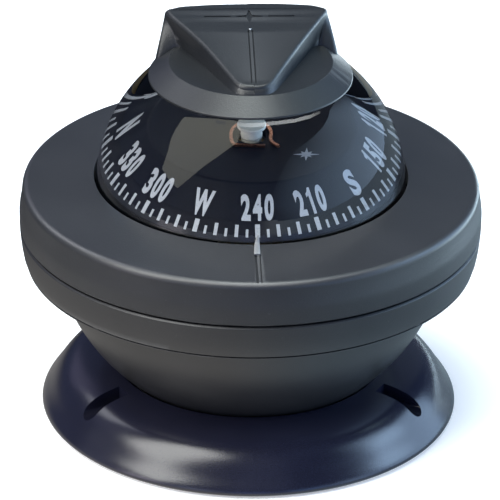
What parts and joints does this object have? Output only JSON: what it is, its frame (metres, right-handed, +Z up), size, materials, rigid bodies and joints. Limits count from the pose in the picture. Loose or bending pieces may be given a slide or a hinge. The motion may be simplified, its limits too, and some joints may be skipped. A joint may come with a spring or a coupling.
{
  "type": "binnacle compass",
  "caption": "Liquid-filled marine compass: domed capsule with gimballed conical card, hooded top and spherical bowl on a low flared base.",
  "frame": {"origin": "centre of the base's underside", "axes": "+Z up along the bowl's axis; -Y towards the helmsman (lubber line side); +X to the helmsman's right"},
  "size_m": [0.085, 0.085, 0.0754],
  "materials": {
    "housing_plastic": "charcoal, fine spark-eroded texture",
    "base_plastic": "satin black",
    "seal_rubber": "matte black",
    "dome_acrylic": "clear polished",
    "pointer_plastic": "light grey",
    "capsule_plastic": "black",
    "card_plastic": "black with white print",
    "brass": "turned",
    "stainless": "bright",
    "copper": "copper, slightly tarnished",
    "ivory_plastic": "ivory",
    "nylon": "natural nylon",
    "magnet": "grey"
  },
  "bodies": {
    "base": {"base": "base_plastic", "base_gasket": "seal_rubber", "friction_ring": "seal_rubber", "friction_disc": "nylon"},
    "bowl": {"bowl": "housing_plastic", "threaded_insert": "brass", "swivel_screw": "stainless", "spring_washer": "stainless", "collar": "housing_plastic", "bezel": "housing_plastic", "bezel_screw_1": "stainless", "bezel_screw_2": "stainless", "bezel_screw_3": "stainless", "bezel_screw_4": "stainless", "lubber_pointer": "pointer_plastic", "dome": "dome_acrylic", "dome_oring": "seal_rubber", "hood": "housing_plastic", "hood_pad": "seal_rubber", "capsule_cup": "capsule_plastic", "diaphragm": "seal_rubber", "diaphragm_ring": "stainless", "filler_plug": "brass", "plug_seal": "seal_rubber", "gimbal_bearing_left": "brass", "gimbal_bearing_right": "brass"},
    "gimbal_ring": {"gimbal_ring": "brass", "pitch_pin_left": "stainless", "pitch_pin_right": "stainless"},
    "pivot_frame": {"pivot_frame": "brass", "roll_pin_front": "stainless", "roll_pin_back": "stainless", "counterweight": "brass", "pivot_needle": "stainless"},
    "card": {"compass_card": "card_plastic", "card_spider": "stainless", "jewel_cup": "nylon", "jewel_cap": "ivory_plastic", "card_clip": "copper", "magnet_left": "magnet", "magnet_right": "magnet"}
  },
  "joints": [
    {"name": "bowl_swivel", "type": "hinge", "parent": "base", "child": "bowl", "pos_m": [0, 0, 0], "axis": [0, 0, 1], "continuous": true},
    {"name": "gimbal_pitch", "type": "hinge", "parent": "bowl", "child": "gimbal_ring", "pos_m": [0, 0, 0.038], "axis": [1, 0, 0], "range_deg": [-20, 20]},
    {"name": "gimbal_roll", "type": "hinge", "parent": "gimbal_ring", "child": "pivot_frame", "pos_m": [0, 0, 0.038], "axis": [0, 1, 0], "range_deg": [-20, 20]},
    {"name": "card_spin", "type": "hinge", "parent": "pivot_frame", "child": "card", "pos_m": [0, 0, 0.0512], "axis": [0, 0, 1], "continuous": true}
  ]
}
